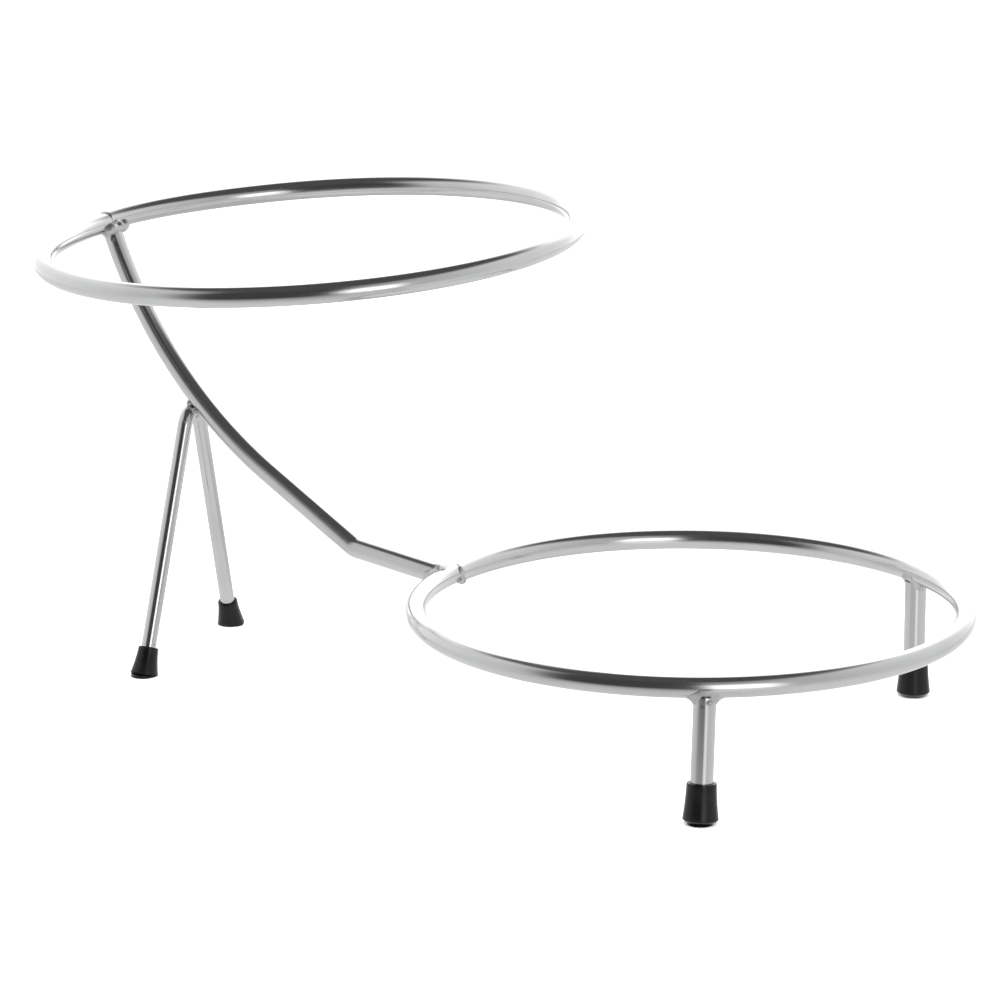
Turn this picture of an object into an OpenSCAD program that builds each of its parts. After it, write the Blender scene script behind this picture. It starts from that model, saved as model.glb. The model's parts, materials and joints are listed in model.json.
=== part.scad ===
// Tiered cake stand: two equal wire rings, one high and one low, welded to a bent
// arm, standing on two short front legs and a hairpin rear leg with push-on caps.
// Millimetres. +X points to the front (low) tier, +Y to the stand's left, +Z up.
// The origin is on the floor under the middle of the whole stand.

/* [Rings] */
// Inside diameter of each ring, where a bowl drops in
ring_inner_diameter = 201; // [150:1:260]
// Diameter of the rod of both rings and of the arm
rod_diameter = 8; // [5:0.5:12]
// Height of the lower ring's rod centre above the floor
lower_ring_height = 50; // [35:1:90]
// Height of the upper ring's centre above the lower ring's centre
tier_rise = 127; // [90:1:180]
// Distance from the upper ring's centre forward to the lower ring's centre
tier_offset = 168; // [120:1:240]
// Upward slope of the upper ring towards the front
upper_ring_pitch = 3.3; // [0:0.1:8]
// Upward slope of the upper ring towards the left
upper_ring_roll = 2; // [-4:0.1:4]

/* [Arm] */
// How far the arm is turned off the stand's centre plane
arm_yaw = 7.5; // [-12:0.5:12]
// Slope of the short straight tail behind the lower ring
tail_slope = 5.8; // [0:0.1:15]
// Length of that tail
tail_length = 42; // [20:1:70]
// Slope of the straight stretch above the kink
kink_slope = 28.5; // [20:0.5:45]
// Slope of the arm where it reaches the upper ring
top_slope = 68.4; // [50:0.1:85]
// Centre-line radius of the kink
kink_radius = 9; // [6:0.5:30]
// Height of the arm's centre line above the ring's where it meets the lower ring
arm_seat_height = 1.2; // [0:0.1:2]

/* [Rear leg] */
// Diameter of the hairpin's wire
hairpin_diameter = 6; // [4:0.5:8]
// Centre-line radius of the hairpin's bend
hairpin_bend_radius = 7.2; // [5:0.1:15]
// Slope of the arm at the place where the hairpin is welded under it
hairpin_arm_slope = 42.3; // [30:0.1:60]
// How far the left rear foot stands behind the stand's middle
rear_left_back = 153.2; // [138:0.1:160]
// How far the left rear foot stands out to the left
rear_left_out = 46.3; // [30:0.1:60]
// How far the right rear foot stands behind the stand's middle
rear_right_back = 142.5; // [138:0.1:160]
// How far the right rear foot stands out to the right
rear_right_out = 35; // [30:0.1:60]

/* [Front legs] */
// Diameter of the front legs
front_leg_diameter = 8.5; // [5:0.5:12]
// Angle round the lower ring from its front to each leg's top
front_leg_angle = 59.8; // [50:0.1:70]
// How far the left front foot stands forward of the stand's middle
front_left_forward = 136; // [130:0.1:145]
// How far the left front foot stands out to the left
front_left_out = 91.2; // [86:0.1:100]
// How far the right front foot stands forward of the stand's middle
front_right_forward = 137.5; // [130:0.1:145]
// How far the right front foot stands out to the right
front_right_out = 95; // [86:0.1:100]

/* [Foot caps] */
// Height of a front cap
front_cap_height = 15.2; // [8:0.1:25]
// Outside diameter at the top of a front cap
front_cap_top = 11.4; // [10:0.1:16]
// Outside diameter near the bottom of a front cap
front_cap_base = 13.2; // [10:0.1:20]
// Chamfer round a front cap's bottom edge
front_cap_chamfer = 1.6; // [0.2:0.1:2]
// Height of a rear cap
rear_cap_height = 11.4; // [8:0.1:25]
// Outside diameter at the top of a rear cap
rear_cap_top = 8.2; // [7.5:0.1:14]
// Outside diameter near the bottom of a rear cap
rear_cap_base = 11.2; // [8:0.1:18]
// Chamfer round a rear cap's bottom edge
rear_cap_chamfer = 0.5; // [0.2:0.1:2]
// Thickness of rubber under the end of each leg
cap_floor = 3; // [1:0.5:6]

/* [Hidden] */
rod_radius = rod_diameter / 2;
wire_radius = hairpin_diameter / 2;
leg_radius = front_leg_diameter / 2;
ring_radius = ring_inner_diameter / 2 + rod_radius;

// How deep a welded rod end sinks into the rod that it meets.
weld_sink = 0.9;
// Reach of a weld's flare beyond the rod that it surrounds.
weld_flare = 2.6;
// Where a flare's metal starts, from the middle of the rod that is met, the height of
// its edge there, and its reach along the other rod beyond the surface that is met.
weld_start = 1.2;
weld_edge = 1.6;
weld_reach = 2.8;
// How far the flare's hollow side stands off its edge.
weld_hollow = 0.3;
// Reach of the hairpin's bead beyond its wire, half its thickness and its rounding.
bead_reach = 1.6;
bead_half = 2.4;
bead_round = 1;
// Clearance between a leg and the bore of its cap.
cap_clearance = 0.05;
// Height of the straight edge between a cap's sole and its chamfer.
sole_edge = 0.6;
// Bevel round a cap's mouth.
cap_mouth_bevel = 0.4;
// How far a cap's shape runs on below the floor before it is cut level.
cap_overrun = 4;
// Half width and height of the space in which a cap is kept.
cut_margin = 12;
cut_height = 30;
// A bend swells by this much over the straight stretches that run into it.
bend_swell = 0.02;
// How far a straight stretch runs on inside the bend next to it.
joint_overlap = 0.5;

// Steps round a rod, and steps round a full turn of a bend.
rod_steps = 96;
bend_steps = 720;
$fn = rod_steps;

lower_centre = [tier_offset / 2, 0, lower_ring_height];
upper_centre = [-tier_offset / 2, 0, lower_ring_height + tier_rise];

// The arm lies in an upright plane through the upper ring's centre. These are the
// distances in that plane from the upper ring's centre to each ring's rear.
lower_reach = tier_offset * cos(arm_yaw)
    - sqrt(pow(ring_radius, 2) - pow(tier_offset * sin(arm_yaw), 2));
upper_reach = ring_radius * cos(upper_ring_pitch);

// Height of the arm's centre line at each end.
arm_low = lower_ring_height + arm_seat_height;
arm_high = upper_centre.z
    - ring_radius * cos(arm_yaw) * sin(upper_ring_pitch)
    + ring_radius * sin(arm_yaw) * sin(upper_ring_roll);

// What the tail and the kink leave for the straight stretch and the long curve.
run_left = lower_reach + upper_reach - tail_length * cos(tail_slope)
    - kink_radius * (sin(kink_slope) - sin(tail_slope));
rise_left = arm_high - arm_low - tail_length * sin(tail_slope)
    - kink_radius * (cos(tail_slope) - cos(kink_slope));

// Length of the straight stretch and radius of the curve that close the path.
curve_run = sin(top_slope) - sin(kink_slope);
curve_rise = cos(kink_slope) - cos(top_slope);
solve_scale = cos(kink_slope) * curve_rise - sin(kink_slope) * curve_run;
straight_length = (run_left * curve_rise - rise_left * curve_run) / solve_scale;
curve_radius = (rise_left * cos(kink_slope) - run_left * sin(kink_slope)) / solve_scale;
// The arm's end stops short of the ring's rod centre, so that it sinks in and no more.
end_gap = rod_radius - weld_sink;
curve_sweep = top_slope - kink_slope - end_gap / curve_radius * 180 / PI;

// Centre of the long curve in the arm's plane, from the upper contact.
curve_centre = [
    -upper_reach + curve_radius * sin(top_slope),
    arm_high + curve_radius * cos(top_slope)
];

// Top of the hairpin's bend, in the arm's plane, just sunk into the arm.
hairpin_depth = curve_radius + rod_radius + wire_radius - weld_sink / 2;
hairpin_top = curve_centre
    + hairpin_depth * [-sin(hairpin_arm_slope), -cos(hairpin_arm_slope)];
hairpin_contact = curve_centre
    + (curve_radius + rod_radius) * [-sin(hairpin_arm_slope), -cos(hairpin_arm_slope)];

// Top of the hairpin's centre line.
hairpin_apex = [
    upper_centre.x + hairpin_top.x * cos(arm_yaw),
    -hairpin_top.x * sin(arm_yaw),
    hairpin_top.y
];

// Where the feet stand; side is 1 for the left leg and -1 for the right leg.
function rear_foot(side) = side > 0
    ? [-rear_left_back, rear_left_out, 0]
    : [-rear_right_back, -rear_right_out, 0];
function front_foot(side) = side > 0
    ? [front_left_forward, front_left_out, 0]
    : [front_right_forward, -front_right_out, 0];

// Top of a front leg's centre line, on the lower ring's.
function front_top(side) = lower_centre
    + ring_radius * [cos(front_leg_angle), side * sin(front_leg_angle), 0];

// The hairpin's plane holds both rear feet and the apex. Its X axis runs along the line
// between the feet, to the left, and its origin is the apex's own place on that line.
feet_line = rear_foot(1) - rear_foot(-1);
feet_way = feet_line / norm(feet_line);
feet_forward = [feet_way.y, -feet_way.x, 0];
apex_along = (hairpin_apex - rear_foot(-1)) * feet_way;
hairpin_origin = rear_foot(-1) + apex_along * feet_way;
hairpin_rise = hairpin_apex - hairpin_origin;
hairpin_yaw = atan2(-feet_way.x, feet_way.y);
hairpin_lean = atan2(hairpin_rise * feet_forward, hairpin_rise.z);
bend_height = norm(hairpin_rise) - hairpin_bend_radius;

// Each side's reach along the feet's line, lean towards the other side, and length.
function rear_out(side) = side > 0 ? norm(feet_line) - apex_along : apex_along;
function rear_splay(side) = atan(rear_out(side) / bend_height)
    - asin(hairpin_bend_radius / norm([rear_out(side), bend_height]));
function rear_leg_length(side) =
    sqrt(pow(rear_out(side), 2) + pow(bend_height, 2) - pow(hairpin_bend_radius, 2));

chrome_colour = [0.82, 0.83, 0.84];
weld_colour = [0.70, 0.71, 0.72];
rubber_colour = [0.06, 0.06, 0.06];

// A rod bent to a full circle in the XY plane.
module ring_rod() {
    rotate_extrude() translate([ring_radius, 0]) circle(r = rod_radius);
}

// A straight rod along +X, from and to the given distances.
module straight_rod(radius, from, to) {
    translate([from, 0, 0]) rotate([0, 90, 0]) cylinder(r = radius, h = to - from);
}

// A bend round the Z axis that starts at the +X axis.
module bend(radius, bend_radius, sweep) {
    rotate_extrude(angle = sweep, $fn = bend_steps)
        translate([bend_radius, 0]) circle(r = radius + bend_swell, $fn = rod_steps);
}

// A rod that starts at the origin along +X and curves towards -Y.
module curved_rod(radius, bend_radius, sweep) {
    translate([0, -bend_radius, 0])
        rotate([0, 0, 90 - sweep]) bend(radius, bend_radius, sweep);
}

// Moves children into the arm's plane: X forward, Y up.
module in_arm_plane() {
    translate([upper_centre.x, 0, 0]) rotate([0, 0, -arm_yaw]) rotate([90, 0, 0]) children();
}

// Moves children into the hairpin's plane: X to the left, Y up.
module in_hairpin_plane() {
    translate(hairpin_origin)
        rotate([0, 0, hairpin_yaw]) rotate([0, hairpin_lean, 0]) rotate([90, 0, 90]) children();
}

// Moves children to a point, with +Z tipped over towards another point.
module aimed(from, to) {
    way = to - from;
    heading = atan2(way.y, way.x);
    translate(from)
        rotate([0, acos(way.z / norm(way)), heading]) rotate([0, 0, -heading]) children();
}

// The straight tail, from the lower ring back.
module arm_tail() {
    straight_rod(rod_radius, end_gap, tail_length + joint_overlap);
}

// The straight stretch and the long curve, from the kink up to the upper ring.
module arm_rise() {
    straight_rod(rod_radius, -joint_overlap, straight_length + joint_overlap);
    translate([straight_length, 0, 0]) curved_rod(rod_radius, curve_radius, curve_sweep);
}

// The whole arm before its ends are shaped to the rings.
module arm_rod() {
    kink = kink_slope - tail_slope;
    in_arm_plane() translate([lower_reach, arm_low, 0]) rotate([0, 0, 180 - tail_slope]) {
        arm_tail();
        translate([tail_length, 0, 0]) {
            curved_rod(rod_radius, kink_radius, kink);
            translate([kink_radius * sin(kink), -kink_radius * (1 - cos(kink)), 0])
                rotate([0, 0, -kink]) arm_rise();
        }
    }
}

// One leg of the hairpin in the hairpin's plane, cut off above the cap's floor.
module hairpin_side(side) {
    splay = rear_splay(side);
    translate([
        side * hairpin_bend_radius * cos(splay),
        bend_height + hairpin_bend_radius * sin(splay)
    ])
        rotate([0, 0, 270 + side * splay])
            straight_rod(wire_radius, -joint_overlap, rear_leg_length(side) - cap_floor);
}

// The whole hairpin before it is shaped to the arm.
module hairpin_wire() {
    in_hairpin_plane() {
        translate([0, bend_height])
            rotate([0, 0, rear_splay(1)])
                bend(wire_radius, hairpin_bend_radius, 180 - rear_splay(1) - rear_splay(-1));
        hairpin_side(1);
        hairpin_side(-1);
    }
}

// A front leg before its top is shaped to the ring.
module front_leg_rod(side) {
    length = norm(front_top(side) - front_foot(side));
    aimed(front_foot(side), front_top(side))
        translate([0, 0, cap_floor]) cylinder(r = leg_radius, h = length - cap_floor - end_gap);
}

// Moves children to a rear foot on the floor, +Z up along the hairpin's leg.
module at_rear_foot(side) {
    in_hairpin_plane()
        translate([side * rear_out(side), 0])
            rotate([0, 0, side * rear_splay(side)]) rotate([-90, 0, 0]) children();
}

// A tapered cap round the Z axis with a blind bore. Its straight edge runs on below the
// floor, because a leaning cap is cut level later on.
module cap_body(height, top, base, chamfer, bore_radius) {
    sole = base / 2 - chamfer;
    difference() {
        rotate_extrude() polygon([
            [0, -cap_overrun], [sole, -cap_overrun], [sole, sole_edge],
            [base / 2, sole_edge + chamfer],
            [top / 2, height - cap_mouth_bevel], [top / 2 - cap_mouth_bevel, height], [0, height]
        ]);
        translate([0, 0, cap_floor]) cylinder(r = bore_radius + cap_clearance, h = height);
    }
}

// Everything above the floor round a foot at the given place.
module above_floor(place) {
    translate(place - [cut_margin, cut_margin, 0])
        cube([2 * cut_margin, 2 * cut_margin, cut_height]);
}

// Weld metal round a rod that meets another rod at the origin; +Z runs along the rod.
module weld_flare_shape(radius) {
    outer = radius + weld_flare;
    end = rod_radius + weld_reach;
    rotate_extrude() difference() {
        polygon([
            [0, weld_start], [radius + weld_flare / 2, weld_start],
            [outer, weld_start + weld_edge], [outer, end], [0, end]
        ]);
        translate([outer + weld_hollow, end]) circle(r = weld_flare);
    }
}

// Weld metal round the place where two rods cross; the Z axis passes through both.
module weld_bead(radius) {
    flat = radius - bead_round;
    rotate_extrude() polygon([
        [0, -bead_half], [flat, -bead_half], [radius, -bead_round],
        [radius, bead_round], [flat, bead_half], [0, bead_half]
    ]);
}

module upper_ring_rod() {
    translate(upper_centre) rotate([upper_ring_roll, -upper_ring_pitch, 0]) ring_rod();
}

module lower_ring_rod() {
    translate(lower_centre) ring_rod();
}

module upper_ring() {
    color(chrome_colour) upper_ring_rod();
}

module lower_ring() {
    color(chrome_colour) lower_ring_rod();
}

module support_arm() {
    color(chrome_colour) difference() {
        arm_rod();
        upper_ring_rod();
        lower_ring_rod();
    }
}

module rear_hairpin_leg() {
    color(chrome_colour) difference() {
        hairpin_wire();
        arm_rod();
    }
}

module front_leg(side) {
    color(chrome_colour) difference() {
        front_leg_rod(side);
        lower_ring_rod();
    }
}

module front_leg_left() {
    front_leg(1);
}

module front_leg_right() {
    front_leg(-1);
}

module foot_cap_front(side) {
    color(rubber_colour) intersection() {
        aimed(front_foot(side), front_top(side)) cap_body(
            front_cap_height, front_cap_top, front_cap_base, front_cap_chamfer, leg_radius
        );
        above_floor(front_foot(side));
    }
}

module foot_cap_front_left() {
    foot_cap_front(1);
}

module foot_cap_front_right() {
    foot_cap_front(-1);
}

module foot_cap_rear(side) {
    color(rubber_colour) intersection() {
        at_rear_foot(side) cap_body(
            rear_cap_height, rear_cap_top, rear_cap_base, rear_cap_chamfer, wire_radius
        );
        above_floor(rear_foot(side));
    }
}

module foot_cap_rear_left() {
    foot_cap_rear(1);
}

module foot_cap_rear_right() {
    foot_cap_rear(-1);
}

module weld_arm_upper() {
    color(weld_colour) difference() {
        in_arm_plane() translate([-upper_reach, arm_high, 0])
            rotate([0, 0, -top_slope]) rotate([0, 90, 0]) weld_flare_shape(rod_radius);
        arm_rod();
        upper_ring_rod();
    }
}

module weld_arm_lower() {
    color(weld_colour) difference() {
        in_arm_plane() translate([lower_reach, arm_low, 0])
            rotate([0, 0, 180 - tail_slope]) rotate([0, 90, 0]) weld_flare_shape(rod_radius);
        arm_rod();
        lower_ring_rod();
    }
}

module weld_hairpin() {
    color(weld_colour) difference() {
        in_arm_plane() translate([hairpin_contact.x, hairpin_contact.y, 0])
            rotate([0, 0, -hairpin_arm_slope]) rotate([90, 0, 0]) weld_bead(wire_radius + bead_reach);
        arm_rod();
        hairpin_wire();
    }
}

module weld_front(side) {
    color(weld_colour) difference() {
        aimed(front_top(side), front_foot(side)) weld_flare_shape(leg_radius);
        front_leg_rod(side);
        lower_ring_rod();
    }
}

module weld_front_left() {
    weld_front(1);
}

module weld_front_right() {
    weld_front(-1);
}

upper_ring();
lower_ring();
support_arm();
rear_hairpin_leg();
front_leg_left();
front_leg_right();
foot_cap_front_left();
foot_cap_front_right();
foot_cap_rear_left();
foot_cap_rear_right();
weld_arm_upper();
weld_arm_lower();
weld_hairpin();
weld_front_left();
weld_front_right();
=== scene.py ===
import json
import math
import random

import bmesh
import bpy
import numpy as np
from mathutils import Matrix, Vector, noise


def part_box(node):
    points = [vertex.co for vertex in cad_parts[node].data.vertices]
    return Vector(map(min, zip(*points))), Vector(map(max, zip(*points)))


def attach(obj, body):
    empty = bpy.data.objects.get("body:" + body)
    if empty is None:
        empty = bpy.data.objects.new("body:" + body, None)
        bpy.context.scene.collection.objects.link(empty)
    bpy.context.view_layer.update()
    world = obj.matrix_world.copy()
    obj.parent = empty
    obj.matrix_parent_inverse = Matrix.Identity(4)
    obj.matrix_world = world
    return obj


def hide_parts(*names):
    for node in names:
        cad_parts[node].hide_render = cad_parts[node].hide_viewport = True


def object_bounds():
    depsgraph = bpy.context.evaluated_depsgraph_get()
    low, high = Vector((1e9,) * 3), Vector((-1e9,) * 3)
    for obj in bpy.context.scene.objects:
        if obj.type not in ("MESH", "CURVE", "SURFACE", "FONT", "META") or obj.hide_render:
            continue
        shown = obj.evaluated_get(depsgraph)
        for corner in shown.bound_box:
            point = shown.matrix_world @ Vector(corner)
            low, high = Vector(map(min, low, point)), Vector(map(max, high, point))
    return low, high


# Tiered cake stand: the looks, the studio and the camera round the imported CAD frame.
# Metres. +X points to the front (low) tier, +Y to the stand's left, +Z up.

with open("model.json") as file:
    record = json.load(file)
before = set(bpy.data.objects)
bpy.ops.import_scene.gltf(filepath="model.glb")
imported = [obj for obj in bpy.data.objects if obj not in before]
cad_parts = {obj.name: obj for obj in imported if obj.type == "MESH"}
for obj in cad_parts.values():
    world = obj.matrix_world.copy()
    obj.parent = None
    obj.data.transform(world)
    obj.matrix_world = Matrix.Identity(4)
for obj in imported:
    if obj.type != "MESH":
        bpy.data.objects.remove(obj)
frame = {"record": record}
cad_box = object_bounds()

MM = 0.001
UP = Vector((0, 0, 1))
MOUNTS = {mount["name"]: mount for mount in frame["record"]["mounts"]}


# ---------------------------------------------------------------- sizes from the frame

def middle(node):
    """Middle of a CAD node's box."""
    low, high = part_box(node)
    return (low + high) / 2


def size(node):
    """Length, width and height of a CAD node's box."""
    low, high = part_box(node)
    return high - low


def foot_place(name):
    """Where a foot rests on the floor."""
    return Vector(MOUNTS["rest_" + name]["pos_m"])


ROD_RADIUS = size("lower_ring").z / 2
RING_RADIUS = size("lower_ring").x / 2 - ROD_RADIUS
LOWER_CENTRE = middle("lower_ring")
UPPER_CENTRE = middle("upper_ring")
UPPER_AXIS = Vector(MOUNTS["upper_bowl_seat"]["axis"]).normalized()

# ---------------------------------------------------------------- design dimensions

# Arm: how far it is turned off the middle plane, and its slopes from the tail up.
ARM_YAW = math.radians(7.5)
TAIL_SLOPE = math.radians(5.8)
KINK_SLOPE = math.radians(28.5)
TOP_SLOPE = math.radians(68.4)
TAIL_LENGTH = 42 * MM
KINK_RADIUS = 9 * MM
ARM_SEAT_HEIGHT = 1.2 * MM
# How deep a welded end sinks into the rod that it meets.
WELD_SINK = 0.9 * MM

# Hairpin: its wire, its bend, and the arm's slope where it is welded on.
WIRE_RADIUS = 3 * MM
BEND_RADIUS = 7.2 * MM
CONTACT_SLOPE = math.radians(42.3)

# Front legs, and how far round the lower ring from its front they are welded.
FRONT_LEG_RADIUS = 4.25 * MM
FRONT_LEG_ANGLE = math.radians(59.8)

# Foot caps: outside radius near the foot and at the mouth, height, chamfer of the
# bottom edge, and the leg that they grip.
FRONT_CAP = {
    "foot": 6.6 * MM, "mouth": 5.55 * MM, "height": 15.2 * MM, "chamfer": 1.7 * MM,
    "bore": FRONT_LEG_RADIUS,
}
REAR_CAP = {
    "foot": 5.6 * MM, "mouth": 4.05 * MM, "height": 11.4 * MM, "chamfer": 0.4 * MM,
    "bore": WIRE_RADIUS,
}
# Rubber under the end of a leg, and how far a cap runs on below the floor before it is cut.
CAP_FLOOR = 3 * MM
CAP_OVERRUN = 4 * MM

# Where each ring's two ends meet, as an angle round the ring from its front, and how far
# its last end is out of line there, outwards and upwards.
UPPER_SEAM = math.radians(174)
UPPER_STEP = (0.3 * MM, 0.7 * MM)
LOWER_SEAM = math.radians(179.4)
LOWER_STEP = (-0.35 * MM, -0.25 * MM)
# The gap between the two ends, and the share of a ring over which it runs out of line.
SEAM_GAP = 0.25 * MM
STRAY_SHARE = 0.12

# Mesh fineness.
PATH_STEP = 0.8 * MM
ROD_SIDES = 48
CAP_SIDES = 96
WELD_SIDES = 72
WELD_VOXEL = 0.2 * MM
# A loose island of a weld with fewer vertices than this is left out.
STRAY_SIZE = 100
# Starting points of the dice that scatter the drops of weld metal.
WELDER_SEED = 11
HAIRPIN_WELDER_SEED = 5


# ---------------------------------------------------------------- materials

class Shader:
    """A node material with the few helpers that the finishes below share."""

    def __init__(self, name):
        self.material = bpy.data.materials.new(name)
        self.material.use_nodes = True
        self.tree = self.material.node_tree
        self.surface = self.tree.nodes["Principled BSDF"]

    def node(self, kind, **settings):
        made = self.tree.nodes.new(kind)
        for key, value in settings.items():
            setattr(made, key, value)
        return made

    def link(self, output, target):
        self.tree.links.new(output, target)

    def place(self, attribute=None, stretch=(1, 1, 1)):
        """Object coordinates, or a mesh's own vector attribute, scaled per axis."""
        if attribute:
            source = self.node("ShaderNodeAttribute", attribute_name=attribute).outputs["Vector"]
        else:
            source = self.node("ShaderNodeTexCoord").outputs["Object"]
        mapping = self.node("ShaderNodeMapping")
        mapping.inputs["Scale"].default_value = stretch
        self.link(source, mapping.inputs["Vector"])
        return mapping.outputs["Vector"]

    def noise(self, place, scale, detail=2.0, roughness=0.5):
        """Noise with about `scale` blotches to the metre."""
        made = self.node("ShaderNodeTexNoise")
        made.inputs["Scale"].default_value = scale
        made.inputs["Detail"].default_value = detail
        made.inputs["Roughness"].default_value = roughness
        self.link(place, made.inputs["Vector"])
        return made.outputs["Fac"]

    def ramp(self, value, start, end, low=0.0, high=1.0):
        """Turns start..end into low..high, and stops there."""
        made = self.node("ShaderNodeMapRange", interpolation_type="SMOOTHSTEP")
        made.inputs["From Min"].default_value = start
        made.inputs["From Max"].default_value = end
        made.inputs["To Min"].default_value = low
        made.inputs["To Max"].default_value = high
        self.link(value, made.inputs["Value"])
        return made.outputs["Result"]

    def mix(self, factor, first, second):
        """Mixes two colours or colour outputs."""
        made = self.node("ShaderNodeMix", data_type="RGBA")
        self.link(factor, made.inputs["Factor"])
        for socket, value in ((made.inputs[6], first), (made.inputs[7], second)):
            if isinstance(value, tuple):
                socket.default_value = (*value, 1)
            else:
                self.link(value, socket)
        return made.outputs[2]

    def bump(self, height, distance, strength=1.0, normal=None):
        """Adds relief `distance` metres deep."""
        made = self.node("ShaderNodeBump")
        made.inputs["Distance"].default_value = distance
        made.inputs["Strength"].default_value = strength
        self.link(height, made.inputs["Height"])
        if normal:
            self.link(normal, made.inputs["Normal"])
        return made.outputs["Normal"]

    def finish(self, colour, roughness, normal):
        self.link(colour, self.surface.inputs["Base Color"])
        self.link(roughness, self.surface.inputs["Roughness"])
        self.link(normal, self.surface.inputs["Normal"])
        return self.material


def chrome_material():
    """Bright chrome plate on drawn wire: faint lines along the rod, haze and a rare speck."""
    shader = Shader("bright_chrome")
    shader.surface.inputs["Metallic"].default_value = 1.0
    along = shader.place("rod_space", stretch=(0.04, 1, 1))
    even = shader.place("rod_space")
    lines = shader.noise(along, 2600, detail=3)
    waves = shader.noise(even, 90, detail=1)
    haze = shader.noise(even, 35, detail=3)
    specks = shader.ramp(shader.noise(even, 420, detail=0), 0.89, 0.93)
    clean = shader.mix(shader.ramp(haze, 0.42, 0.7), (0.57, 0.575, 0.575), (0.54, 0.545, 0.545))
    colour = shader.mix(specks, clean, (0.16, 0.16, 0.165))
    roughness = shader.ramp(haze, 0.35, 0.75, 0.15, 0.20)
    relief = shader.bump(waves, 0.006 * MM)
    relief = shader.bump(lines, 0.0005 * MM, normal=relief)
    relief = shader.bump(specks, -0.02 * MM, normal=relief)
    return shader.finish(colour, roughness, relief)


def weld_material():
    """Plated weld metal: satin, rippled, with darker specks where the plating is thin."""
    shader = Shader("plated_weld")
    shader.surface.inputs["Metallic"].default_value = 1.0
    place = shader.place()
    grain = shader.noise(place, 700, detail=3)
    blotch = shader.noise(place, 260, detail=2)
    specks = shader.ramp(shader.noise(place, 520, detail=1), 0.74, 0.84)
    plate = shader.mix(shader.ramp(blotch, 0.35, 0.65), (0.58, 0.585, 0.585), (0.5, 0.505, 0.51))
    colour = shader.mix(specks, plate, (0.16, 0.16, 0.163))
    roughness = shader.ramp(blotch, 0.3, 0.7, 0.42, 0.56)
    relief = shader.bump(grain, 0.012 * MM)
    return shader.finish(colour, roughness, relief)


def dark_crumb_material():
    """Dark crumbs, matt and crusty; the one on the front right weld is painted shade in the undercut
    under its drop.
    """
    shader = Shader("matt_dark_crumb")
    crust = shader.noise(shader.place(), 1500, detail=3)
    colour = shader.mix(crust, (0.02, 0.02, 0.02), (0.07, 0.07, 0.07))
    roughness = shader.ramp(crust, 0.3, 0.7, 0.4, 0.6)
    return shader.finish(colour, roughness, shader.bump(crust, 0.05 * MM))


def rubber_material():
    """Black moulded rubber: a fine matt skin, greyer and rougher where it is handled."""
    shader = Shader("black_rubber")
    shader.surface.inputs["Specular IOR Level"].default_value = 0.28
    place = shader.place()
    skin = shader.noise(place, 2400, detail=3)
    bloom = shader.noise(place, 130, detail=3)
    worn = shader.ramp(bloom, 0.4, 0.75)
    colour = shader.mix(worn, (0.0025, 0.0026, 0.0026), (0.005, 0.0051, 0.0051))
    roughness = shader.ramp(bloom, 0.3, 0.7, 0.2, 0.28)
    relief = shader.bump(skin, 0.02 * MM)
    return shader.finish(colour, roughness, relief)


def floor_material():
    """Matt white paper."""
    shader = Shader("white_paper")
    fibres = shader.noise(shader.place(), 300, detail=3)
    colour = shader.mix(shader.ramp(fibres, 0.3, 0.7), (0.90, 0.90, 0.90), (0.88, 0.88, 0.88))
    roughness = shader.ramp(fibres, 0.3, 0.7, 0.8, 0.9)
    return shader.finish(colour, roughness, shader.bump(fibres, 0.02 * MM))


# ---------------------------------------------------------------- mesh helpers

def to_object(name, mesh_data, material):
    """A linked, smooth-shaded object from a bmesh or a finished mesh."""
    if isinstance(mesh_data, bmesh.types.BMesh):
        bmesh.ops.recalc_face_normals(mesh_data, faces=mesh_data.faces)
        mesh = bpy.data.meshes.new(name)
        mesh_data.to_mesh(mesh)
        mesh_data.free()
    else:
        mesh = mesh_data
    mesh.materials.clear()
    mesh.materials.append(material)
    mesh.shade_smooth()
    piece = bpy.data.objects.new(name, mesh)
    bpy.context.scene.collection.objects.link(piece)
    return piece


def stand_for(piece, slot, *nodes):
    """Puts a piece on the stand's body in place of its CAD nodes."""
    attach(piece, "root")
    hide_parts(*nodes)


def smoothstep(value):
    """0 below 0, 1 above 1 and a soft S between them."""
    value = min(1.0, max(0.0, value))
    return value * value * (3 - 2 * value)


def skin_loops(bm, loops, wrap):
    """Quads between neighbouring loops of vertices; wrap also joins the last to the first."""
    pairs = list(zip(loops, loops[1:]))
    if wrap:
        pairs.append((loops[-1], loops[0]))
    for one, other in pairs:
        for i in range(len(one)):
            j = (i + 1) % len(one)
            bm.faces.new((one[i], one[j], other[j], other[i]))


# ---------------------------------------------------------------- rods

def trace(start, heading, moves):
    """Walks in a plane and returns its points.

    A move is ("ahead", length) or ("turn", radius, angle), positive to the left.
    """
    place = Vector(start)
    points = [place.copy()]
    for move in moves:
        if move[0] == "ahead":
            steps = max(1, round(move[1] / PATH_STEP))
            step = move[1] / steps
            for _ in range(steps):
                place += step * Vector((math.cos(heading), math.sin(heading)))
                points.append(place.copy())
        else:
            radius, angle = move[1:]
            side = math.copysign(1, angle)
            steps = max(12, round(radius * abs(angle) / PATH_STEP))
            centre = place + side * radius * Vector((-math.sin(heading), math.cos(heading)))
            spoke = place - centre
            for i in range(1, steps + 1):
                points.append(centre + Matrix.Rotation(angle * i / steps, 2) @ spoke)
            heading += angle
            place = points[-1].copy()
    return points


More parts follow.
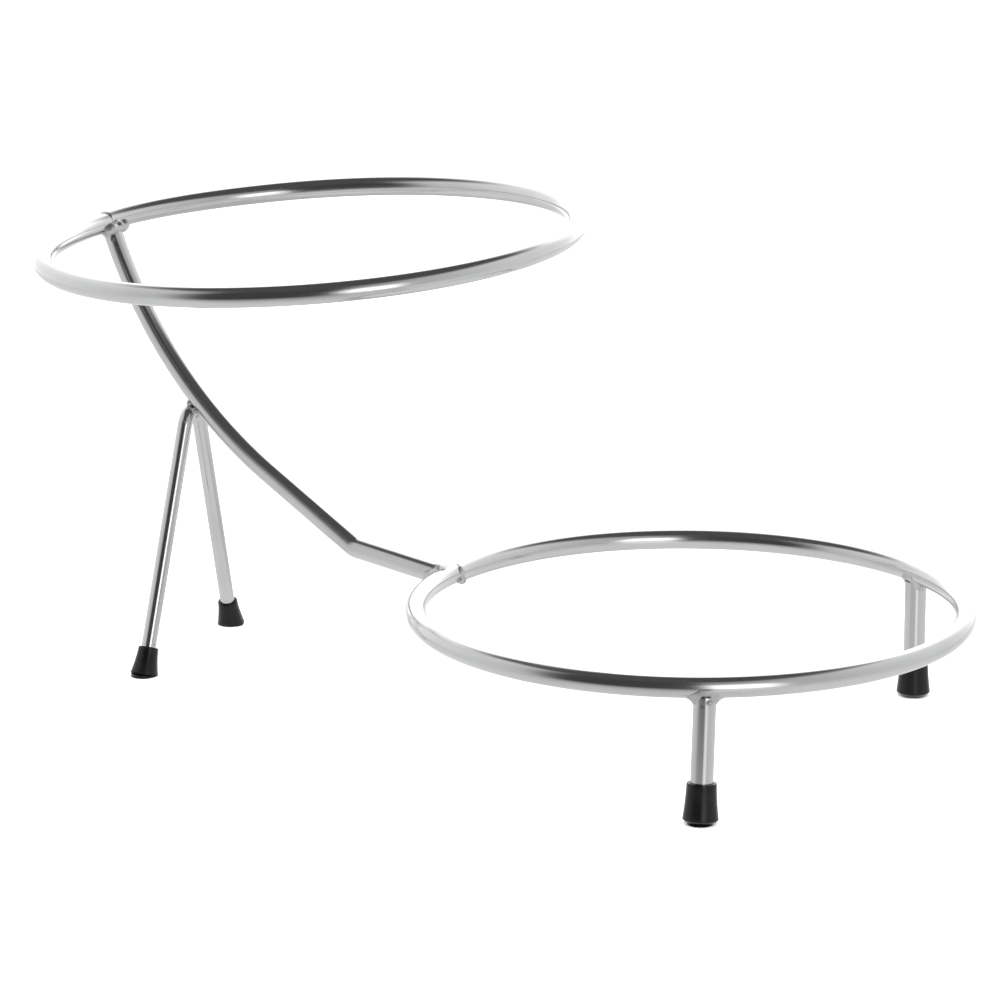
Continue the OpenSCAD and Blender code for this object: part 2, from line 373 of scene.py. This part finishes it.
def sweep_rod(name, points, side_axis, radius, material, end_round=0.35 * MM):
    """A round rod along 3-D points that lie near a plane square to side_axis.

    Its ends are rounded off. Each vertex keeps its place on the rod as if the rod were
    straight, in the attribute rod_space, so that the finish runs along the rod.
    """
    last = len(points) - 1
    stations = []
    travelled = 0.0
    for i, point in enumerate(points):
        tangent = (points[min(i + 1, last)] - points[max(i - 1, 0)]).normalized()
        if i:
            travelled += (point - points[i - 1]).length
        stations.append((point, tangent, travelled, radius))
    stations = (
        end_stations(stations[0], radius, end_round, 1)
        + stations[1:-1]
        + end_stations(stations[-1], radius, end_round, -1)[::-1]
    )
    bm = bmesh.new()
    rod_space = bm.verts.layers.float_vector.new("rod_space")
    loops = []
    for place, tangent, run, width in stations:
        outward = tangent.cross(side_axis).normalized()
        upward = outward.cross(tangent)
        loop = []
        for k in range(ROD_SIDES):
            angle = math.tau * k / ROD_SIDES
            across, along_side = width * math.cos(angle), width * math.sin(angle)
            vertex = bm.verts.new(place + across * outward + along_side * upward)
            vertex[rod_space] = Vector((run, across, along_side))
            loop.append(vertex)
        loops.append(loop)
    skin_loops(bm, loops, wrap=False)
    bm.faces.new(loops[0])
    bm.faces.new(loops[-1])
    return to_object(name, bm, material)


def end_stations(end, radius, end_round, inward):
    """The stations that round off a rod's end, from the end inwards."""
    point, tangent, travelled, _ = end
    steps = 6
    made = []
    for i in range(steps + 1):
        angle = math.pi / 2 * i / steps
        depth = end_round * (1 - math.cos(angle))
        width = radius - end_round * (1 - math.sin(angle))
        made.append((point + inward * depth * tangent, tangent, travelled + inward * depth, width))
    return made


def ring_spoke(axis, angle):
    """Unit vector from a ring's centre to an angle round it from its front."""
    front = Vector((1, 0, 0))
    front = (front - front.dot(axis) * axis).normalized()
    return math.cos(angle) * front + math.sin(angle) * axis.cross(front)


def ring_points(centre, axis, seam, step):
    """Centre line of a ring that is open at its seam.

    Towards its last end the rod strays outwards and upwards by the two lengths in step.
    """
    half_gap = SEAM_GAP / 2 / RING_RADIUS
    turn = math.tau - 2 * half_gap
    count = round(turn * RING_RADIUS / PATH_STEP)
    points = []
    for i in range(count + 1):
        spoke = ring_spoke(axis, seam + half_gap + turn * i / count)
        stray = smoothstep((i / count - 1) / STRAY_SHARE + 1)
        points.append(centre + RING_RADIUS * spoke + stray * (step[0] * spoke + step[1] * axis))
    return points


def to_arm_plane(point):
    """From the arm's plane, forward and up, to the stand."""
    return Vector((
        UPPER_CENTRE.x + point[0] * math.cos(ARM_YAW),
        -point[0] * math.sin(ARM_YAW),
        point[1],
    ))


ARM_SIDE = Vector((math.sin(ARM_YAW), math.cos(ARM_YAW), 0))
ARM_FORWARD = Vector((math.cos(ARM_YAW), -math.sin(ARM_YAW), 0))


def down_arm(slope):
    """Unit vector forward and down along the arm where it has that slope."""
    return math.cos(slope) * ARM_FORWARD - math.sin(slope) * UP


def arm_ends():
    """Where the arm's centre line meets the lower and the upper ring, in its plane."""
    ring_gap = (LOWER_CENTRE - UPPER_CENTRE).x
    low = Vector((
        ring_gap * math.cos(ARM_YAW) - math.sqrt(RING_RADIUS**2 - (ring_gap * math.sin(ARM_YAW))**2),
        LOWER_CENTRE.z + ARM_SEAT_HEIGHT,
    ))
    rearward = -ARM_FORWARD
    spoke = (rearward - rearward.dot(UPPER_AXIS) * UPPER_AXIS).normalized() * RING_RADIUS
    high = Vector((-math.hypot(spoke.x, spoke.y), UPPER_CENTRE.z + spoke.z))
    return low, high


ARM_LOW, ARM_HIGH = arm_ends()


def arm_stretches():
    """Length of the straight stretch and radius of the long curve that join the ends."""
    kink_run = KINK_RADIUS * (math.sin(KINK_SLOPE) - math.sin(TAIL_SLOPE))
    kink_rise = KINK_RADIUS * (math.cos(TAIL_SLOPE) - math.cos(KINK_SLOPE))
    run_left = (ARM_LOW - ARM_HIGH).x - TAIL_LENGTH * math.cos(TAIL_SLOPE) - kink_run
    rise_left = (ARM_HIGH - ARM_LOW).y - TAIL_LENGTH * math.sin(TAIL_SLOPE) - kink_rise
    curve_run = math.sin(TOP_SLOPE) - math.sin(KINK_SLOPE)
    curve_rise = math.cos(KINK_SLOPE) - math.cos(TOP_SLOPE)
    shares = [[math.cos(KINK_SLOPE), curve_run], [math.sin(KINK_SLOPE), curve_rise]]
    return [float(value) for value in np.linalg.solve(shares, [run_left, rise_left])]


STRAIGHT_LENGTH, CURVE_RADIUS = arm_stretches()
CURVE_CENTRE = ARM_HIGH + CURVE_RADIUS * Vector((math.sin(TOP_SLOPE), math.cos(TOP_SLOPE)))
CONTACT_INWARD = Vector((-math.sin(CONTACT_SLOPE), -math.cos(CONTACT_SLOPE)))
HAIRPIN_TOP = CURVE_CENTRE + (
    CURVE_RADIUS + ROD_RADIUS + WIRE_RADIUS - WELD_SINK / 2
) * CONTACT_INWARD
HAIRPIN_CONTACT = to_arm_plane(CURVE_CENTRE + (CURVE_RADIUS + ROD_RADIUS) * CONTACT_INWARD)


def make_rings(chrome):
    """Both rings, each one length of rod bent round until its ends meet at the weld."""
    upper = sweep_rod(
        "upper_ring_rod",
        ring_points(UPPER_CENTRE, UPPER_AXIS, UPPER_SEAM, UPPER_STEP),
        UPPER_AXIS, ROD_RADIUS, chrome,
    )
    stand_for(upper, "bright_rod", "upper_ring")
    lower = sweep_rod(
        "lower_ring_rod",
        ring_points(LOWER_CENTRE, UP, LOWER_SEAM, LOWER_STEP),
        UP, ROD_RADIUS, chrome,
    )
    stand_for(lower, "bright_rod", "lower_ring")


def make_arm(chrome):
    """The arm: tail, kink, straight stretch and long curve."""
    sunk = ROD_RADIUS - WELD_SINK
    kink = KINK_SLOPE - TAIL_SLOPE
    heading = math.pi - TAIL_SLOPE
    start = ARM_LOW + sunk * Vector((math.cos(heading), math.sin(heading)))
    moves = [
        ("ahead", TAIL_LENGTH - sunk),
        ("turn", KINK_RADIUS, -kink),
        ("ahead", STRAIGHT_LENGTH),
        ("turn", CURVE_RADIUS, -(TOP_SLOPE - KINK_SLOPE - sunk / CURVE_RADIUS)),
    ]
    points = [to_arm_plane(p) for p in trace(start, heading, moves)]
    arm = sweep_rod("support_arm_rod", points, ARM_SIDE, ROD_RADIUS, chrome)
    stand_for(arm, "bright_rod", "support_arm")


# The hairpin's plane holds both rear feet and the top of its bend.
HAIRPIN_APEX = to_arm_plane(HAIRPIN_TOP)
FEET_WAY = (foot_place("rear_left") - foot_place("rear_right")).normalized()
HAIRPIN_ORIGIN = foot_place("rear_right") + FEET_WAY * (
    HAIRPIN_APEX - foot_place("rear_right")
).dot(FEET_WAY)
HAIRPIN_UP = (HAIRPIN_APEX - HAIRPIN_ORIGIN).normalized()
BEND_HEIGHT = (HAIRPIN_APEX - HAIRPIN_ORIGIN).length - BEND_RADIUS


def to_hairpin_plane(point):
    """From the hairpin's plane, left and up, to the stand."""
    return HAIRPIN_ORIGIN + point[0] * FEET_WAY + point[1] * HAIRPIN_UP


def rear_leg(side):
    """One side of the hairpin: its reach along the floor, its lean and its length."""
    out = (foot_place("rear_" + side) - HAIRPIN_ORIGIN).length
    lean = math.atan(out / BEND_HEIGHT) - math.asin(BEND_RADIUS / math.hypot(out, BEND_HEIGHT))
    return out, lean, math.sqrt(out**2 + BEND_HEIGHT**2 - BEND_RADIUS**2)


def make_hairpin(chrome):
    """The rear leg: one thin wire, up from the left foot, over its bend and down again."""
    left_out, left_lean, left_length = rear_leg("left")
    _, right_lean, right_length = rear_leg("right")
    heading = math.pi / 2 + left_lean
    start = Vector((left_out, 0)) + CAP_FLOOR * Vector((math.cos(heading), math.sin(heading)))
    moves = [
        ("ahead", left_length - CAP_FLOOR),
        ("turn", BEND_RADIUS, math.pi - left_lean - right_lean),
        ("ahead", right_length - CAP_FLOOR),
    ]
    points = [to_hairpin_plane(p) for p in trace(start, heading, moves)]
    side_axis = FEET_WAY.cross(HAIRPIN_UP)
    wire = sweep_rod("rear_hairpin_wire", points, side_axis, WIRE_RADIUS, chrome)
    stand_for(wire, "bright_rod", "rear_hairpin_leg")


def front_leg_line(side):
    """A front leg's top on the lower ring and its foot on the floor."""
    angle = FRONT_LEG_ANGLE if side == "left" else -FRONT_LEG_ANGLE
    spoke = Vector((math.cos(angle), math.sin(angle), 0))
    return LOWER_CENTRE + RING_RADIUS * spoke, foot_place("front_" + side)


def make_front_legs(chrome):
    """The two short rods under the lower ring."""
    for side in ("left", "right"):
        top, foot = front_leg_line(side)
        down = (foot - top).normalized()
        start = top + (ROD_RADIUS - WELD_SINK) * down
        end = foot - CAP_FLOOR * down
        count = round((end - start).length / PATH_STEP)
        points = [start.lerp(end, i / count) for i in range(count + 1)]
        side_axis = down.cross(UP).normalized()
        leg = sweep_rod(f"front_leg_{side}_rod", points, side_axis, FRONT_LEG_RADIUS, chrome)
        stand_for(leg, "bright_rod", "front_leg_" + side)


# ---------------------------------------------------------------- welds

def corner_fillet(bm, origin, rod_axis, rod_radius, ring_axis, reach, spread, wander, rise=0):
    """A ring of weld metal in the corner between a rod and the ring that it ends on.

    The rod's axis passes rise above origin, which is on the ring rod's centre line. The
    metal runs reach along the rod and spread out over the ring, and wander varies both.
    """
    across = ring_axis.cross(rod_axis).normalized()
    beside = rod_axis.cross(across).normalized()
    flat_axis = rod_axis - rod_axis.dot(ring_axis) * ring_axis
    loops = []
    for k in range(WELD_SIDES):
        angle = math.tau * k / WELD_SIDES
        outward = math.cos(angle) * beside + math.sin(angle) * across
        skin = rise * UP + rod_radius * outward
        flat = skin - skin.dot(ring_axis) * ring_axis
        lean = flat.dot(flat_axis)
        room = lean**2 - flat_axis.length_squared * (flat.length_squared - ROD_RADIUS**2)
        height = (math.sqrt(max(room, 0)) - lean) / flat_axis.length_squared
        seam = origin + skin + height * rod_axis
        vary = 1 + wander * noise.noise(Vector((3 * math.cos(angle), 3 * math.sin(angle), 7)))
        high = seam + reach * vary * rod_axis
        low = onto_rod(seam + spread * vary * outward, origin, ring_axis, ROD_RADIUS)
        bend = seam + 0.22 * (reach * rod_axis + spread * outward)
        loop = [seam - 0.8 * MM * (outward + rod_axis), high - 0.5 * MM * outward]
        for i in range(9):
            t = i / 8
            loop.append((1 - t)**2 * high + 2 * t * (1 - t) * bend + t**2 * low)
        loop.append(onto_rod(low, origin, ring_axis, ROD_RADIUS - 0.6 * MM))
        loops.append([bm.verts.new(place) for place in loop])
    skin_loops(bm, loops, wrap=True)


def onto_rod(place, origin, axis, radius):
    """The point beside place at that distance from a rod's centre line."""
    offset = place - origin
    foot = origin + offset.dot(axis) * axis
    return foot + radius * (place - foot).normalized()


def drop(bm, place, radius, flatten=1.0):
    """One drop of weld metal."""
    shape = Matrix.Translation(place) @ Matrix.Diagonal((1, 1, flatten, 1))
    bmesh.ops.create_icosphere(bm, subdivisions=3, radius=radius, matrix=shape)


def drop_chain(bm, start, end, radius, count, dice):
    """Overlapping drops from start to end, as a welder lays them down."""
    for i in range(count):
        place = start.lerp(end, i / (count - 1))
        jitter = Vector((dice.uniform(-1, 1), dice.uniform(-1, 1), dice.uniform(-1, 1)))
        drop(bm, place + 0.18 * radius * jitter, radius * dice.uniform(0.85, 1.15))


def drop_strays(mesh):
    """Removes the tiny loose islands that melting leaves inside a weld."""
    bm = bmesh.new()
    bm.from_mesh(mesh)
    unseen = set(bm.verts)
    strays = []
    while unseen:
        island = [unseen.pop()]
        for vertex in island:
            for edge in vertex.link_edges:
                neighbour = edge.other_vert(vertex)
                if neighbour in unseen:
                    unseen.remove(neighbour)
                    island.append(neighbour)
        if len(island) < STRAY_SIZE:
            strays += island
    bmesh.ops.delete(bm, geom=strays, context="VERTS")
    bm.to_mesh(mesh)
    bm.free()


def fuse_weld(name, bm, lumps, material):
    """Melts a weld's shapes into one skin and gives it ripples and lumps."""
    rough = to_object(name + "_raw", bm, material)
    remesh = rough.modifiers.new("melt", "REMESH")
    remesh.mode = "VOXEL"
    remesh.voxel_size = WELD_VOXEL
    smooth = rough.modifiers.new("settle", "SMOOTH")
    smooth.factor = 0.5
    smooth.iterations = 10
    graph = bpy.context.evaluated_depsgraph_get()
    mesh = bpy.data.meshes.new_from_object(rough.evaluated_get(graph))
    mesh.name = name
    bpy.data.objects.remove(rough)
    drop_strays(mesh)
    for vertex, normal in zip(mesh.vertices, [v.normal.copy() for v in mesh.vertices]):
        swell = noise.fractal(vertex.co / (1.6 * MM), 0.8, 2.1, 3)
        vertex.co += lumps * swell * normal
    return to_object(name, mesh, material)


def make_front_welds(weld_metal):
    """A smooth flare where each front leg meets the ring, with one stray drop on it."""
    for side in ("left", "right"):
        top, foot = front_leg_line(side)
        down = (foot - top).normalized()
        outward = (top - LOWER_CENTRE).normalized()
        along = UP.cross(outward)
        bm = bmesh.new()
        corner_fillet(
            bm, top, down, FRONT_LEG_RADIUS, along,
            reach=2.6 * MM, spread=2.9 * MM, wander=0.12,
        )
        toward_drop = (outward + 0.45 * along).normalized()
        sunk_in = FRONT_LEG_RADIUS - 1.1 * MM
        drop(bm, top + 4.8 * MM * down + sunk_in * toward_drop, 1.8 * MM, flatten=0.75)
        weld = fuse_weld(f"front_{side}_weld_bead", bm, 0.02 * MM, weld_metal)
        stand_for(weld, "weld_metal", "weld_front_" + side)


def make_arm_welds(weld_metal):
    """The lumpy welds at the arm's two ends, which also close the rings' seams."""
    dice = random.Random(WELDER_SEED)
    top = to_arm_plane(ARM_HIGH)
    spoke = (top - UPPER_CENTRE).normalized()
    along = UPPER_AXIS.cross(spoke).normalized()

    # A ragged fillet, a fat bead along the inside of the ring and a thin one at its seam.
    bm = bmesh.new()
    corner_fillet(
        bm, top, down_arm(TOP_SLOPE), ROD_RADIUS, along,
        reach=2.4 * MM, spread=2.4 * MM, wander=0.6,
    )
    inner = top - 3.7 * MM * spoke - 2.2 * MM * UPPER_AXIS
    drop_chain(bm, inner - 4.4 * MM * along, inner + 4.5 * MM * along, 2.3 * MM, 10, dice)
    seam = UPPER_CENTRE + RING_RADIUS * ring_spoke(UPPER_AXIS, UPPER_SEAM)
    drop_chain(bm, seam - 3.2 * MM * spoke, seam - 3.6 * MM * UPPER_AXIS, 1.3 * MM, 6, dice)
    weld = fuse_weld("arm_upper_weld_bead", bm, 0.06 * MM, weld_metal)
    stand_for(weld, "weld_metal", "weld_arm_upper")

    # A fillet round the arm, whose middle is above the ring's, and a bead across the seam.
    low = to_arm_plane(ARM_LOW)
    spoke = Vector((low.x - LOWER_CENTRE.x, low.y, 0)).normalized()
    along = UP.cross(spoke)
    bm = bmesh.new()
    corner_fillet(
        bm, low - ARM_SEAT_HEIGHT * UP, -down_arm(TAIL_SLOPE), ROD_RADIUS, along,
        reach=3.4 * MM, spread=2.3 * MM, wander=0.3, rise=ARM_SEAT_HEIGHT,
    )
    inner = LOWER_CENTRE + (RING_RADIUS - 3.1 * MM) * ring_spoke(UP, LOWER_SEAM)
    drop_chain(bm, inner + 2.2 * MM * UP, inner - 2.2 * MM * UP, 1.7 * MM, 5, dice)
    weld = fuse_weld("arm_lower_weld_bead", bm, 0.08 * MM, weld_metal)
    stand_for(weld, "weld_metal", "weld_arm_lower")


def make_hairpin_weld(weld_metal):
    """A bead on each side of the hairpin's bend, between it and the arm."""
    dice = random.Random(HAIRPIN_WELDER_SEED)
    reach = 3.0 * MM * FEET_WAY
    bm = bmesh.new()
    for side in (-1, 1):
        place = HAIRPIN_CONTACT + side * 2.1 * MM * down_arm(CONTACT_SLOPE)
        drop_chain(bm, place - reach, place + reach, 1.25 * MM, 7, dice)
    weld = fuse_weld("hairpin_weld_bead", bm, 0.12 * MM, weld_metal)
    stand_for(weld, "weld_metal", "weld_hairpin")


def make_dark_crumbs(crumb_matt):
    """Dark crumbs in the corners of three welds; the one low and left of the front right weld's drop
    is painted shade in the undercut there.
    """
    top, foot = front_leg_line("right")
    down = (foot - top).normalized()
    outward = (top - LOWER_CENTRE).normalized()
    beside = (outward - 0.28 * UP.cross(outward)).normalized()
    # Painted shade: a dark crumb low and left of the drop, where the weld is undercut.
    make_crumb(
        "front_right_painted_shade_crumb", "weld_front_right",
        top + 6.0 * MM * down + FRONT_LEG_RADIUS * beside, 0.65 * MM, crumb_matt,
    )
    forward = math.sin(TOP_SLOPE) * ARM_FORWARD + math.cos(TOP_SLOPE) * UP
    facing = (0.5 * forward - 0.85 * ARM_SIDE).normalized()
    arm_skin = to_arm_plane(ARM_HIGH) + (ROD_RADIUS - 0.2 * MM) * facing
    make_crumb(
        "arm_upper_dark_crumb", "weld_arm_upper",
        arm_skin + 7.6 * MM * down_arm(TOP_SLOPE), 1.0 * MM, crumb_matt,
    )
    make_crumb(
        "hairpin_dark_crumb", "weld_hairpin",
        HAIRPIN_CONTACT - 2.2 * MM * down_arm(CONTACT_SLOPE) - 2.8 * MM * FEET_WAY, 1.2 * MM, crumb_matt,
    )


def make_crumb(name, node, place, radius, crumb_matt):
    """One rough crumb."""
    bm = bmesh.new()
    drop(bm, place, radius)
    for vertex in bm.verts:
        vertex.co += 0.3 * radius * noise.noise_vector(vertex.co / radius)
    stand_for(to_object(name, bm, crumb_matt), "weld_metal", node)


# ---------------------------------------------------------------- foot caps

def arc(centre, radius, start, end, steps=5):
    """Profile points round a centre, from start to end degrees."""
    points = []
    for i in range(steps + 1):
        angle = math.radians(start + (end - start) * i / steps)
        points.append((centre[0] + radius * math.cos(angle), centre[1] + radius * math.sin(angle)))
    return points


def cap_profile(cap):
    """Outline of a cap from under its foot, up its flared outside and down its bore."""
    foot, mouth, height, chamfer = cap["foot"], cap["mouth"], cap["height"], cap["chamfer"]
    lip = 0.35 * MM
    corner = 0.4 * MM
    outline = [(foot - chamfer, -CAP_OVERRUN)]
    outline += arc((foot - chamfer - corner, corner), corner, -20, -45)
    outline += arc((foot - corner, chamfer + 0.4 * corner), corner, -45, 5)
    steps = 8
    for i in range(1, steps):
        up = i / steps
        flare = (1 - up)**1.5
        outline.append((mouth + (foot - mouth) * flare, chamfer + up * (height - lip - chamfer)))
    outline += arc((mouth - lip, height - lip), lip, 0, 90)
    outline += arc((cap["bore"] + lip, height - lip), lip, 90, 180)
    return outline + [(cap["bore"] + 0.03 * MM, CAP_FLOOR)]


def make_cap(name, node, place, up, cap, rubber):
    """A push-on cap: turned profile, two mould lines, cut level where it stands."""
    side = up.cross(Vector((1, 0, 0))).normalized()
    forward = side.cross(up)
    bm = bmesh.new()
    loops = []
    for radius, height in cap_profile(cap):
        loop = []
        for k in range(CAP_SIDES):
            angle = math.tau * k / CAP_SIDES
            ridge = 0.07 * MM * math.exp(-(math.sin(angle) / 0.05)**2)
            width = radius + (ridge if radius > cap["bore"] + 0.5 * MM else 0)
            spoke = math.cos(angle) * forward + math.sin(angle) * side
            loop.append(bm.verts.new(place + width * spoke + height * up))
        loops.append(loop)
    skin_loops(bm, loops, wrap=False)
    bm.faces.new(loops[0])
    bm.faces.new(loops[-1])
    level = bmesh.ops.bisect_plane(
        bm, geom=[*bm.verts, *bm.edges, *bm.faces], plane_co=(0, 0, 0), plane_no=(0, 0, 1),
        clear_inner=True,
    )
    rim = [item for item in level["geom_cut"] if isinstance(item, bmesh.types.BMEdge)]
    bmesh.ops.contextual_create(bm, geom=rim)
    piece = to_object(name, bm, rubber)
    stand_for(piece, "foot_cap", node)


def make_caps(rubber):
    """All four caps, each in line with its leg."""
    for side in ("left", "right"):
        top, foot = front_leg_line(side)
        make_cap(
            f"front_{side}_rubber_cap", f"foot_cap_front_{side}",
            foot, (top - foot).normalized(), FRONT_CAP, rubber,
        )
        _, lean, _ = rear_leg(side)
        inward = -FEET_WAY if side == "left" else FEET_WAY
        make_cap(
            f"rear_{side}_rubber_cap", f"foot_cap_rear_{side}", foot_place("rear_" + side),
            math.sin(lean) * inward + math.cos(lean) * HAIRPIN_UP, REAR_CAP, rubber,
        )


# ---------------------------------------------------------------- studio

CAMERA_AZIMUTH = 29.44
CAMERA_ELEVATION = 14.33
CAMERA_DISTANCE = 1.8598
CAMERA_LENS = 176.0
# From the middle of the stand's box to the point that the camera looks at.
AIM_SHIFT = Vector((15.9, -26.7, -3.8)) * MM

# The studio's walls stand in a dome round the stand; only reflections see it.
DOME_RADIUS = 0.9
DOME_HEIGHT = 0.05
# The dome's paper lies just under the floor. At low angles it mirrors the walls: the sheen
# reaches its full share where a polished surface would reflect SHEEN_ONSET of the light.
PAPER_LEVEL = -0.3 * MM
PAPER_SHEEN = 0.42
PAPER_ROUGHNESS = 0.12
SHEEN_ONSET = 0.28
ROOM_LIGHT = 2.4


def make_floor():
    """A wide sheet of white paper."""
    bm = bmesh.new()
    bmesh.ops.create_grid(bm, x_segments=8, y_segments=8, size=6)
    floor = to_object("paper_floor", bm, floor_material())
    floor.visible_glossy = False


def between(value, start, end, soft_start, soft_end):
    """1 inside start..end, falling to 0 outside over the soft widths, for numpy arrays."""
    rise = np.clip((value - start) / soft_start + 0.5, 0, 1)
    fall = np.clip((end - value) / soft_end + 0.5, 0, 1)
    return rise * rise * (3 - 2 * rise) * fall * fall * (3 - 2 * fall)


def paint(light, level, mask):
    """Light with a patch of another level laid over it."""
    return light + (level - light) * mask


def wall_light(azimuth, elevation):
    """Brightness of the walls; azimuth 0 faces the camera, 90 its right."""
    turned = np.abs(azimuth)
    light = 0.40 + 0.006 * turned
    # The bright back wall.
    back_edge = np.where(azimuth > 0, 138, 156)
    back = between(turned - back_edge, 0, 60, 26, 1) * between(elevation, -20, 46, 2, 14)
    light = paint(light, 2.0, back)
    # The dark room behind the camera, wider towards its top.
    room_edge = -53 - 0.2 * np.clip(elevation, 0, 60)
    light = paint(light, 0.075, between(azimuth, room_edge, 9, 24, 9))
    # The dark ceiling, lower at the back.
    ceiling_edge = 55 - 8 * np.clip((turned - 100) / 30, 0, 1)
    light = paint(light, 0.105, between(elevation - ceiling_edge, 0, 200, 16, 1))
    # A tall white lamp beside the camera.
    return paint(light, 2.4, between(azimuth, 9.5, 33, 11, 10) * between(elevation, -40, 29, 2, 20))


def paper_light(azimuth, distance):
    """Brightness of the floor's paper, which darkens towards the room behind the camera."""
    toward = np.maximum(distance * np.cos(np.radians(azimuth)), 0)
    dimmed = 1.05 / (1 + (toward / 0.45)**1.8)
    light = paint(1.0, 0.75, between(np.abs(azimuth), 150, 190, 20, 1))
    return paint(light, dimmed, between(azimuth, -53, 33, 24, 9))


def glow_material(name, sheen):
    """Light from the attribute glow, under a sheen seen at low angles only."""
    material = bpy.data.materials.new(name)
    material.use_nodes = True
    nodes, links = material.node_tree.nodes, material.node_tree.links
    nodes.clear()
    source = nodes.new("ShaderNodeAttribute")
    source.attribute_name = "glow"
    emission = nodes.new("ShaderNodeEmission")
    mirror = nodes.new("ShaderNodeBsdfGlossy")
    mirror.inputs["Roughness"].default_value = PAPER_ROUGHNESS
    fresnel = nodes.new("ShaderNodeFresnel")
    fresnel.inputs["IOR"].default_value = 1.5
    share = nodes.new("ShaderNodeMapRange")
    share.inputs["From Max"].default_value = SHEEN_ONSET
    share.inputs["To Max"].default_value = sheen
    mix = nodes.new("ShaderNodeMixShader")
    output = nodes.new("ShaderNodeOutputMaterial")
    links.new(source.outputs["Fac"], emission.inputs["Strength"])
    links.new(fresnel.outputs["Fac"], share.inputs["Value"])
    links.new(share.outputs["Result"], mix.inputs[0])
    links.new(emission.outputs["Emission"], mix.inputs[1])
    links.new(mirror.outputs["BSDF"], mix.inputs[2])
    links.new(mix.outputs["Shader"], output.inputs["Surface"])
    material.cycles.emission_sampling = "NONE"
    return material


def make_dome():
    """The studio round the stand as the chrome sees it: walls, ceiling and paper."""
    bm = bmesh.new()
    bmesh.ops.create_uvsphere(bm, u_segments=288, v_segments=144, radius=DOME_RADIUS)
    places = np.array([v.co for v in bm.verts])
    azimuth = np.degrees(np.arctan2(places[:, 0], -places[:, 1]))
    elevation = np.degrees(np.arcsin(np.clip(places[:, 2] / DOME_RADIUS, -1, 1)))
    distance = np.hypot(places[:, 0], places[:, 1])
    paper = places[:, 2] < PAPER_LEVEL - DOME_HEIGHT
    for vertex in bm.verts:
        vertex.co.z = max(vertex.co.z, PAPER_LEVEL - DOME_HEIGHT)
    bmesh.ops.reverse_faces(bm, faces=bm.faces)
    mesh = bpy.data.meshes.new("studio_dome")
    bm.to_mesh(mesh)
    bm.free()
    mesh.shade_flat()
    light = np.where(paper, paper_light(azimuth, distance), wall_light(azimuth, elevation))
    glow = mesh.attributes.new("glow", "FLOAT", "POINT")
    glow.data.foreach_set("value", light.astype(np.float32))

    mesh.materials.append(glow_material("studio_walls", 0))
    mesh.materials.append(glow_material("studio_paper", PAPER_SHEEN))
    on_paper = [all(paper[i] for i in face.vertices) for face in mesh.polygons]
    mesh.polygons.foreach_set("material_index", on_paper)

    dome = bpy.data.objects.new("studio_dome", mesh)
    dome.location = (0, 0, DOME_HEIGHT)
    dome.rotation_euler = (0, 0, math.radians(CAMERA_AZIMUTH))
    bpy.context.scene.collection.objects.link(dome)
    dome.visible_camera = False
    dome.visible_diffuse = False
    dome.visible_shadow = False
    dome.visible_transmission = False


def make_world():
    """Soft white light from all round; the camera sees plain white behind the floor."""
    world = bpy.data.worlds.new("white_room")
    world.use_nodes = True
    background = world.node_tree.nodes["Background"]
    background.inputs["Color"].default_value = (1, 1, 1, 1)
    background.inputs["Strength"].default_value = ROOM_LIGHT
    bpy.context.scene.world = world
    bpy.context.scene.view_settings.view_transform = "Standard"


def make_camera():
    """The camera at the stand's front right corner, a little above it."""
    azimuth, elevation = math.radians(CAMERA_AZIMUTH), math.radians(CAMERA_ELEVATION)
    back = Vector((
        math.sin(azimuth) * math.cos(elevation),
        -math.cos(azimuth) * math.cos(elevation),
        math.sin(elevation),
    ))
    data = bpy.data.cameras.new("camera")
    data.lens = CAMERA_LENS
    camera = bpy.data.objects.new("camera", data)
    camera.location = (cad_box[0] + cad_box[1]) / 2 + AIM_SHIFT + CAMERA_DISTANCE * back
    camera.rotation_mode = "QUATERNION"
    camera.rotation_quaternion = back.to_track_quat("Z", "Y")
    bpy.context.scene.collection.objects.link(camera)
    bpy.context.scene.camera = camera


def make_stand():
    chrome = chrome_material()
    weld_metal = weld_material()
    make_rings(chrome)
    make_arm(chrome)
    make_hairpin(chrome)
    make_front_legs(chrome)
    make_front_welds(weld_metal)
    make_arm_welds(weld_metal)
    make_hairpin_weld(weld_metal)
    make_dark_crumbs(dark_crumb_material())
    make_caps(rubber_material())


make_stand()
make_floor()
make_dome()
make_world()
make_camera()
